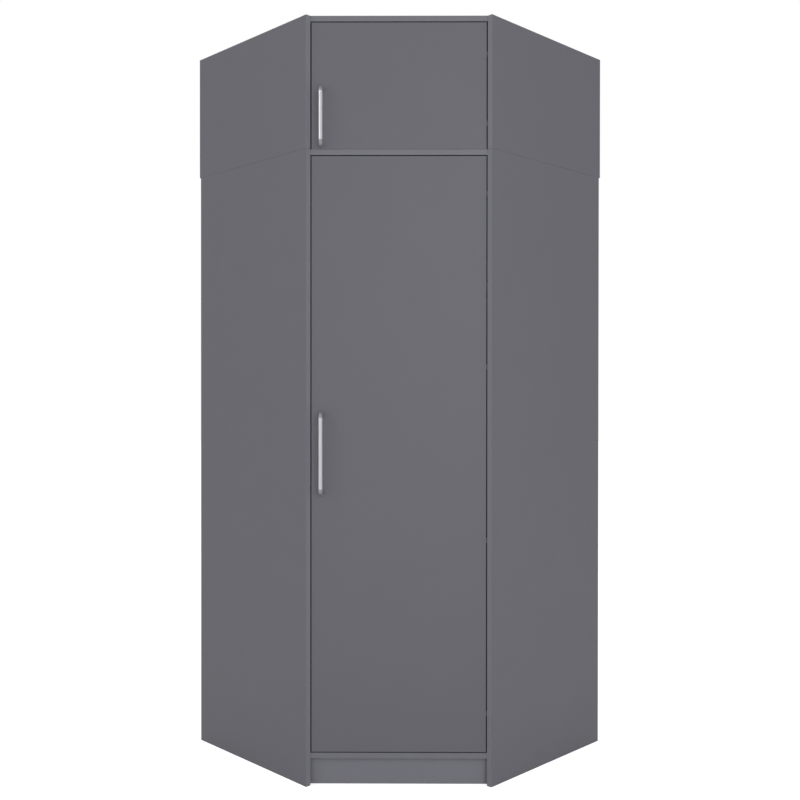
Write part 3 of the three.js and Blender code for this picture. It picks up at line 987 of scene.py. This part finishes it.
class BowTree(GeometryTree):
    """A round bar along a cornered line, with its corners bent to a radius."""

    def __init__(self) -> None:
        """Builds the tree."""
        super().__init__("bent_bar", {
            "Bar Radius": (FLOAT, 6 * MM),
            "Bend Radius": (FLOAT, 12 * MM),
            "Bend Steps": (INTEGER, 16),
            "Sides": (INTEGER, 40),
        })
        w, start = self.wiring, self.start
        line = w.add("GeometryNodeMeshToCurve", {"Mesh": start["Geometry"]}).outputs[0]
        bend = {"Curve": line, "Radius": start["Bend Radius"], "Count": start["Bend Steps"]}
        bent = w.add("GeometryNodeFilletCurve", bend, mode="POLY").outputs[0]
        section = {"Resolution": start["Sides"], "Radius": start["Bar Radius"]}
        ring = w.add("GeometryNodeCurvePrimitiveCircle", section).outputs[0]
        feeds = {"Curve": bent, "Profile Curve": ring, "Fill Caps": True}
        self.close(w.add("GeometryNodeCurveToMesh", feeds).outputs[0])


STUDS = StudTree()
BOWS = BowTree()


@dataclass(frozen=True)
class Head:
    """The head of a fastener.

    Args:
        radius: Its radius.
        height: Its height.
        crown: Radius of its top as a share of its radius.
        drive: Length of its cross recess, or 0 for none.
        sides: Sides of its outline.
    """

    radius: float
    height: float
    crown: float
    drive: float
    sides: int


class Fastener(Enum):
    """The kinds of fastener, by their heads."""

    HANDLE_BOLT = Head(radius=4.5 * MM, height=2.5 * MM, crown=0.70, drive=4.6 * MM, sides=28)
    HINGE_SCREW = Head(radius=3.6 * MM, height=1.0 * MM, crown=0.72, drive=3.8 * MM, sides=20)
    ARM_SCREW = Head(radius=3.1 * MM, height=1.1 * MM, crown=0.80, drive=3.4 * MM, sides=20)
    HANGER_SCREW = Head(radius=3.4 * MM, height=1.0 * MM, crown=0.72, drive=3.6 * MM, sides=20)
    NAIL = Head(radius=2.2 * MM, height=0.5 * MM, crown=0.60, drive=0.0, sides=10)
    CAM = Head(radius=7.4 * MM, height=0.4 * MM, crown=0.95, drive=7.0 * MM, sides=40)


@dataclass
class Studs:
    """A set of like fasteners that face one way.

    Args:
        name: The piece's name.
        kind: The kind of fastener.
        points: Where each head sits.
        facing: The way that they face.
        body: The body that they ride on.
        seed: Seed of their turns.
        slimness: Width of the cross recess as a share of its length.
        depth: Depth of the recess as a share of the head's height.
        least_drive: Least length of the recess's cutter.
        least_slot: Least width of the recess's cutter.
    """

    name: str
    kind: Fastener
    points: Sequence[Vector]
    facing: Vector
    body: str
    seed: int
    slimness: float = 0.26
    depth: float = 0.55
    least_drive: float = 1 * MM
    least_slot: float = 0.3 * MM

    def build(self) -> bpy.types.Object:
        """Makes the heads as one mesh.

        Returns:
            The piece.
        """
        head = self.kind.value
        values = {
            "Head Radius": head.radius,
            "Head Height": head.height,
            "Crown Share": head.crown,
            "Sides": head.sides,
            "Drive Length": max(head.drive, self.least_drive),
            "Drive Width": max(head.drive * self.slimness, self.least_slot),
            "Drive Depth": head.height * self.depth if head.drive else 0.0,
            "Facing": tuple(self.facing.to_track_quat("Z", "Y").to_euler()),
            "Seed": self.seed,
        }
        piece = STUDS.grow(self.name, points_mesh(self.name, self.points), values, ZINC)
        return settle(piece, ZINC, self.body)


@dataclass
class BowHandle:
    """The bow handle of one door, bright between satin bends, with its two bolts.

    Args:
        storey: The door's storey.
        bar_radius: Radius of the bar.
        bend_radius: Radius of the bends' centre line.
        clearance: Space between the door and what is screwed to it.
        straight: Cosine above which a normal counts as lying along an axis.
        seed: Seed of the bolts' turns.
    """

    storey: Storey
    bar_radius: float = 6 * MM
    bend_radius: float = 12 * MM
    clearance: float = 0.1 * MM
    straight: float = 0.99
    seed: int = 3

    def build(self) -> None:
        """Makes the bow and the bolt heads."""
        node = f"{self.storey.value}_handle"
        low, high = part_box(node)
        door_low, door_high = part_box(f"{self.storey.value}_door")
        x, out = (low.x + high.x) / 2, low.y + self.bar_radius
        feet = (low.z + self.bar_radius, high.z - self.bar_radius)
        foot_y = door_low.y - self.clearance
        places = ((foot_y, feet[0]), (out, feet[0]), (out, feet[1]), (foot_y, feet[1]))
        line = points_mesh(node, [Vector((x, y, z)) for y, z in places], [(0, 1), (1, 2), (2, 3)])
        values = {"Bar Radius": self.bar_radius, "Bend Radius": self.bend_radius}
        piece = BOWS.grow(f"{node}_bow", line, values, HANDLE)
        satin = piece.data.attributes.new("satin", "FLOAT", "FACE")
        for face in piece.data.polygons:
            is_cap = abs(face.normal.y) >= self.straight and len(face.vertices) > 4
            face.use_smooth = not is_cap
            bright = feet[0] + self.bend_radius < face.center.z < feet[1] - self.bend_radius
            satin.data[face.index].value = float(not bright)
        settle(piece, HANDLE, body_of_node(node), [node])
        heads = [Vector((x, door_high.y + self.clearance, z)) for z in feet]
        Studs(f"{node}_bolts", Fastener.HANDLE_BOLT, heads, Vector((0, 1, 0)),
              body_of_node(node), self.seed).build()


@dataclass
class HangingRail:
    """The hanging rail as a smooth tube.

    Args:
        wall: Wall of the tube.
        sides: Sides of its section.
        lip: Width of the broken edges at its ends.
        crease: Angle over which an edge stays sharp.
    """

    wall: float = 1.5 * MM
    sides: int = 64
    lip: float = 0.4 * MM
    crease: float = math.radians(30)

    def build(self) -> None:
        """Makes the tube in place of its node."""
        low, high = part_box("hanging_rail")
        centre, lip = (low + high) / 2, self.lip
        outer = (high.z - low.z) / 2
        inner = outer - self.wall
        profile = [
            (low.x, inner + lip), (low.x, outer - lip), (low.x + lip, outer),
            (high.x - lip, outer), (high.x, outer - lip), (high.x, inner + lip),
            (high.x - lip, inner), (low.x + lip, inner),
        ]
        shape = bmesh.new()
        rings = []
        for step in range(self.sides):
            angle = math.tau * step / self.sides
            rings.append([
                shape.verts.new((x, centre.y + r * math.cos(angle), centre.z + r * math.sin(angle)))
                for x, r in profile
            ])
        for here, there in zip(rings, rings[1:] + rings[:1]):
            for place in range(len(profile)):
                after = (place + 1) % len(profile)
                corners = (here[place], here[after], there[after], there[place])
                shape.faces.new(corners).smooth = True
        bmesh.ops.recalc_face_normals(shape, faces=shape.faces)
        for edge in shape.edges:
            edge.smooth = edge.calc_face_angle(0.0) < self.crease
        piece = link_object("hanging_rail_tube", close_shape(shape, "hanging_rail_tube"))
        settle(piece, RAIL, "cabinet", ["hanging_rail"])


@dataclass
class MetalPart:
    """A small metal piece: its CAD shape with broken edges and smooth round faces.

    Args:
        node: The CAD node.
        suffix: What the piece's name adds to the node's.
        breaking: Width of the broken edges.
        round_angle: Angle under which two faces shade as one.
        edge_angle: Angle over which an outer edge is broken.
    """

    node: str
    suffix: str
    breaking: float = 0.18 * MM
    round_angle: float = math.radians(40)
    edge_angle: float = math.radians(50)

    def build(self) -> bpy.types.Object:
        """Makes the piece in the node's place.

        Returns:
            The piece.
        """
        shape = open_node(self.node)
        ease_edges(shape, self.edge_angle, self.breaking, 1)
        for face in shape.faces:
            face.smooth = True
        for edge in shape.edges:
            edge.smooth = len(edge.link_faces) == 2 and edge.calc_face_angle(0.0) < self.round_angle
        name = f"{self.node}_{self.suffix}"
        piece = link_object(name, close_shape(shape, name))
        finish = BY_SLOT[SLOT_OF_NODE[self.node]]
        return settle(piece, finish, body_of_node(self.node), [self.node])


class Ironmongery:
    """The concealed hinges, shelf pegs and rail hangers.

    Attributes:
        HINGE_SUFFIXES: What the name of each kind of hinge piece adds to its node's.
    """

    HINGE_SUFFIXES = {"cup": "pressing", "inner_link": "strap", "outer_link": "strap",
                      "arm": "channel", "plate": "casting"}

    def build(self) -> None:
        """Makes all the small metal pieces."""
        for node in sorted(frame["nodes"]):
            if "_hinge_" in node:
                kind = next(k for k in self.HINGE_SUFFIXES if node.endswith(f"_{k}"))
                MetalPart(node, self.HINGE_SUFFIXES[kind]).build()
            elif node.startswith("rail_hanger"):
                MetalPart(node, "bracket", breaking=0.4 * MM).build()
            elif node.startswith("shelf_peg"):
                MetalPart(node, "pin", breaking=0.3 * MM, round_angle=math.radians(60),
                          edge_angle=math.radians(70)).build()


@dataclass
class Fasteners:
    """Screws of the hinges and rail hangers, cams of the boards and nails of the backs.

    Args:
        door_gap: Gap between a door's edge and the side panel's inner corner.
        cup_edge: Distance of the cup's centre from the door's edge.
        flange_rise: Height of the cup flange's face above the door's back.
        flange_pitch: Half the distance between the flange's screws.
        wing_place: Distance of the plate's screws from the panel's front edge.
        wing_rise: Height of the wing's face above the panel.
        wing_pitch: Half the distance between the wing's screws.
        arm_rise: Height of the arm's face above the panel.
        arm_places: Distances of the arm's screws from the panel's front edge.
        nail_pitch: Distance from nail to nail, about.
        nail_inset: Distance of the outer nails from a back's edge.
        stile_nails: Distance of a stile's nails from the room corner.
        cam_places: Distances of the cams from the panel's front edge.
        cam_inset: Distance of the cams from the panel.
        hanger_pitch: Half the distance between a hanger's screws.
        hanger_flange: Thickness of the hanger's flange.

    Attributes:
        SEEDS: Seed of the turns of each kind.
    """

    SEEDS = {"flange": 5, "plate": 7, "arm": 9, "nails": 11, "cams": 13, "hanger": 15}

    door_gap: float = 2.8 * MM
    cup_edge: float = 22.5 * MM
    flange_rise: float = 1.7 * MM
    flange_pitch: float = 24 * MM
    wing_place: float = 37 * MM
    wing_rise: float = 2.8 * MM
    wing_pitch: float = 16 * MM
    arm_rise: float = 10.2 * MM
    arm_places: Span = (44 * MM, 57 * MM)
    nail_pitch: float = 120 * MM
    nail_inset: float = 8 * MM
    stile_nails: float = 60 * MM
    cam_places: Span = (70 * MM, 430 * MM)
    cam_inset: float = 34 * MM
    hanger_pitch: float = 14 * MM
    hanger_flange: float = 2.5 * MM

    def on_panel(self, storey: Storey, along: float, off: float) -> Vector:
        """A point by the right side panel's inner face.

        Args:
            storey: The panel's storey.
            along: Distance from the panel's front edge.
            off: Distance from its inner face.

        Returns:
            The point, on the floor.
        """
        low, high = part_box(f"{storey.value}_door")
        corner = Vector((high.x + self.door_gap, low.y, 0.0))
        return corner + slanted(1, 1) * along + slanted(-1, 1) * off

    def hinges(self, storey: Storey) -> None:
        """Makes the screws of one door's hinges: in flanges, in plates and on arms.

        Args:
            storey: The door's storey.
        """
        pre = storey.value
        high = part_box(f"{pre}_door")[1]
        plates = sorted(n for n in frame["nodes"]
                        if n.startswith(f"{pre}_hinge_") and n.endswith("_plate"))
        heights = [sum(c.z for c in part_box(n)) / 2 for n in plates]
        rise, inward = Vector((0, 0, 1)), slanted(-1, 1)
        flange = Vector((high.x - self.cup_edge, high.y + self.flange_rise, 0.0))
        cups = [flange + rise * (z + way * self.flange_pitch) for z in heights for way in (-1, 1)]
        wing = self.on_panel(storey, self.wing_place, self.wing_rise)
        wings = [wing + rise * (z + way * self.wing_pitch) for z in heights for way in (-1, 1)]
        arms = [self.on_panel(storey, along, self.arm_rise) + rise * z
                for z in heights for along in self.arm_places]
        for word, kind, points, facing, body in (
            ("flange", Fastener.HINGE_SCREW, cups, Vector((0, 1, 0)), f"{pre}_door_leaf"),
            ("plate", Fastener.HINGE_SCREW, wings, inward, "cabinet"),
            ("arm", Fastener.ARM_SCREW, arms, inward, "cabinet"),
        ):
            name = f"{pre}_{word}_screws"
            Studs(name, kind, points, facing, body, self.SEEDS[word]).build()

    def nails(self, storey: Storey, hand: Hand) -> None:
        """Makes the nails round one hardboard back and along its stile.

        Args:
            storey: The back's storey.
            hand: The back's side.
        """
        node = f"{storey.value}_back_{hand.word}"
        low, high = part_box(node)
        apex = Vector((0.0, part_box(f"{storey.value}_back_right")[1].y, 0.0))
        width = max(abs(low.x), abs(high.x)) / DIAGONAL
        first, last = self.stile_nails, width - self.nail_inset
        bottom, top = low.z + self.nail_inset, high.z - self.nail_inset
        up_steps = round((top - bottom) / self.nail_pitch)
        across_steps = round((last - first) / self.nail_pitch)
        heights = [bottom + (top - bottom) * step / up_steps for step in range(up_steps + 1)]
        places = [(column, z) for column in (first, last) for z in heights]
        places += [(first + (last - first) * step / across_steps, z)
                   for z in (bottom, top) for step in range(1, across_steps)]
        run = slanted(hand.value, -1)
        points = [apex + run * along + Vector((0, 0, z)) for along, z in places]
        Studs(f"{node}_nails", Fastener.NAIL, points, slanted(hand.value, 1), "cabinet",
              self.SEEDS["nails"]).build()

    def cams(self, storey: Storey) -> None:
        """Makes the cam fittings in the underside of a top panel, beside its side panels.

        Args:
            storey: The top panel's storey.
        """
        node = f"{storey.value}_top_panel"
        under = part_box(node)[0].z
        spots = [self.on_panel(storey, along, self.cam_inset) for along in self.cam_places]
        points = [Vector((hand.value * spot.x, spot.y, under)) for spot in spots for hand in Hand]
        Studs(f"{node}_cams", Fastener.CAM, points, Vector((0, 0, -1)), "cabinet",
              self.SEEDS["cams"]).build()

    def rail_screws(self) -> None:
        """Makes the screws that hold the rail hangers under the hat shelf."""
        points = []
        for hand in Hand:
            low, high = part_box(f"rail_hanger_{hand.word}")
            middle, z = (low + high) / 2, high.z - self.hanger_flange
            points += [Vector((middle.x, middle.y + way * self.hanger_pitch, z))
                       for way in (-1, 1)]
        Studs("rail_hanger_screws", Fastener.HANGER_SCREW, points, Vector((0, 0, -1)), "cabinet",
              self.SEEDS["hanger"]).build()

    def build(self) -> None:
        """Makes all the fasteners."""
        for storey in Storey:
            self.hinges(storey)
            self.cams(storey)
            for hand in Hand:
                self.nails(storey, hand)
        self.rail_screws()


@dataclass
class Lamp:
    """A soft square light.

    Args:
        name: The light's name.
        place: Where it stands.
        target: What it points at.
        size: Its width.
        power: Its power in watts.
        mirrored: Whether glossy surfaces show it.
    """

    name: str
    place: Colour
    target: Colour
    size: float
    power: float
    mirrored: bool = True

    def build(self) -> None:
        """Makes the light."""
        data = bpy.data.lights.new(self.name, "AREA")
        data.energy, data.size = self.power, self.size
        lamp = link_object(self.name, data)
        lamp.location = self.place
        lamp.visible_glossy = self.mirrored
        lamp.rotation_mode = "QUATERNION"
        way = Vector(self.target) - Vector(self.place)
        lamp.rotation_quaternion = way.to_track_quat("-Z", "Y")


@dataclass
class Studio:
    """Camera, floor, background and light.

    Args:
        lens: Focal length in millimetres.
        sensor: Width of the sensor in millimetres.
        eye: Place of the camera.
        yaw: Turn of the camera to the right, in radians.
        pitch: Tilt of the camera downward, in radians.
        roll: Turn of the camera clockwise about its view, in radians.
        ambient: Strength of the surrounding light.
        side_dimming: X of the view over which reflections dim, and their light there.
        depth_dimming: Y over which they dim, and by how much.
        height_dimming: Z over which they dim, and by how much.
        floor_size: Width of the floor.
        floor_tone: How light the floor is.
        floor_glow: Light that the floor adds where it is seen.
        floor_mirrored: Share of that light in reflections.
        lamps: The lamps.
    """

    lens: float = 43.94
    sensor: float = 36.0
    eye: Colour = (0.01730, -3.25220, 1.11006)
    yaw: float = -0.00506
    pitch: float = 0.00570
    roll: float = -0.00067
    ambient: float = 0.64
    side_dimming: tuple[Span, Span] = ((-0.3, 0.6), (0.95, 0.70))
    depth_dimming: tuple[Span, Span] = ((-0.3, 0.2), (1.0, 0.55))
    height_dimming: tuple[Span, Span] = ((0.35, 0.8), (1.0, 0.6))
    floor_size: float = 40.0
    floor_tone: float = 0.86
    floor_glow: float = 0.62
    floor_mirrored: float = 0.15
    lamps: list[Lamp] = field(default_factory=lambda: [
        Lamp("key", (-3.6, -2.6, 3.0), (0.0, -0.4, 1.2), size=1.2, power=14.0),
        Lamp("front", (1.2, -3.7, 1.9), (0.0, -0.3, 1.2), size=2.4, power=49.0, mirrored=False),
        Lamp("fill", (-3.0, -3.4, 0.9), (0.0, -0.3, 0.8), size=2.0, power=13.0, mirrored=False),
    ])

    def camera(self) -> None:
        """Makes the camera at the photograph's angle."""
        data = bpy.data.cameras.new("camera")
        data.lens, data.sensor_width = self.lens, self.sensor
        camera = link_object("camera", data)
        turned = Matrix.Rotation(-self.yaw, 3, "Z") @ Matrix.Rotation(-self.pitch, 3, "X")
        right, forward, up = (turned @ Vector(v) for v in ((1, 0, 0), (0, 1, 0), (0, 0, 1)))
        cosine, sine = math.cos(self.roll), math.sin(self.roll)
        rolled = (right * cosine - up * sine, right * sine + up * cosine, -forward)
        axes = Matrix(rolled).transposed()
        camera.matrix_world = Matrix.Translation(self.eye) @ axes.to_4x4()
        bpy.context.scene.camera = camera

    @staticmethod
    def seen_straight(w: Wiring, path: bpy.types.Node) -> Socket:
        """1 for a ray from the camera or through glass, else 0."""
        rays = path.outputs
        return w.math("MAXIMUM", rays["Is Camera Ray"], rays["Is Transmission Ray"])

    def surroundings(self) -> None:
        """Makes the white background and the even light.

        Reflections of it dim to the right, toward the room corner and overhead.
        """
        world = bpy.data.worlds.new("studio")
        w = blank_wiring(world)
        path = w.add("ShaderNodeLightPath")
        direction = w.add("ShaderNodeTexCoord").outputs["Generated"]
        way = w.add("ShaderNodeSeparateXYZ", {0: direction}).outputs
        dimmings = (self.side_dimming, self.depth_dimming, self.height_dimming)
        shine = w.product(*(w.spread(way[axis], *dimmings[axis]) for axis in range(3)))
        light, mirrored, seen = (
            w.add("ShaderNodeBackground", {"Color": WHITE, "Strength": strength}).outputs[0]
            for strength in (self.ambient, shine, 1.0)
        )
        glossy = path.outputs["Is Glossy Ray"]
        unseen = w.add("ShaderNodeMixShader", {0: glossy, 1: light, 2: mirrored}).outputs[0]
        feeds = {0: self.seen_straight(w, path), 1: unseen, 2: seen}
        both = w.add("ShaderNodeMixShader", feeds).outputs[0]
        w.add("ShaderNodeOutputWorld", {"Surface": both})
        bpy.context.scene.world = world

    def floor(self) -> None:
        """Makes the white floor that keeps the wardrobe's shadow."""
        half = self.floor_size / 2
        corners = [(-half, -half, 0), (half, -half, 0), (half, half, 0), (-half, half, 0)]
        mesh = bpy.data.meshes.new("floor")
        mesh.from_pydata(corners, [], [(0, 1, 2, 3)])
        material = bpy.data.materials.new("floor")
        w = blank_wiring(material)
        path = w.add("ShaderNodeLightPath")
        mirrored = w.product(path.outputs["Is Glossy Ray"], self.floor_mirrored)
        seen = w.math("MAXIMUM", self.seen_straight(w, path), mirrored)
        paint = w.add("ShaderNodeBsdfDiffuse", {"Color": (*[self.floor_tone] * 3, 1.0)})
        glow = w.add("ShaderNodeEmission", {"Strength": w.product(seen, self.floor_glow)})
        both = w.add("ShaderNodeAddShader", {0: paint.outputs[0], 1: glow.outputs[0]})
        w.add("ShaderNodeOutputMaterial", {"Surface": both.outputs[0]})
        mesh.materials.append(material)
        link_object("floor", mesh)

    def build(self) -> None:
        """Sets up the whole studio."""
        bpy.context.scene.view_settings.view_transform = "Standard"
        self.camera()
        self.surroundings()
        self.floor()
        for lamp in self.lamps:
            lamp.build()


def dress_frame() -> None:
    """Gives each CAD node that still shows its finish."""
    for name, node in frame["nodes"].items():
        if not node.hide_render:
            node.data.materials.clear()
            node.data.materials.append(BY_SLOT[SLOT_OF_NODE[name]].material())
            LOG.info("%s: %s", name, SLOT_OF_NODE[name])


def main() -> None:
    """Builds the wardrobe's pieces in order."""
    logging.basicConfig(level=logging.INFO, format="%(name)s: %(message)s")
    Studio().build()
    Carcass().build()
    for storey in Storey:
        BowHandle(storey).build()
    HangingRail().build()
    Ironmongery().build()
    Fasteners().build()
    dress_frame()


if __name__ == "__main__":
    main()
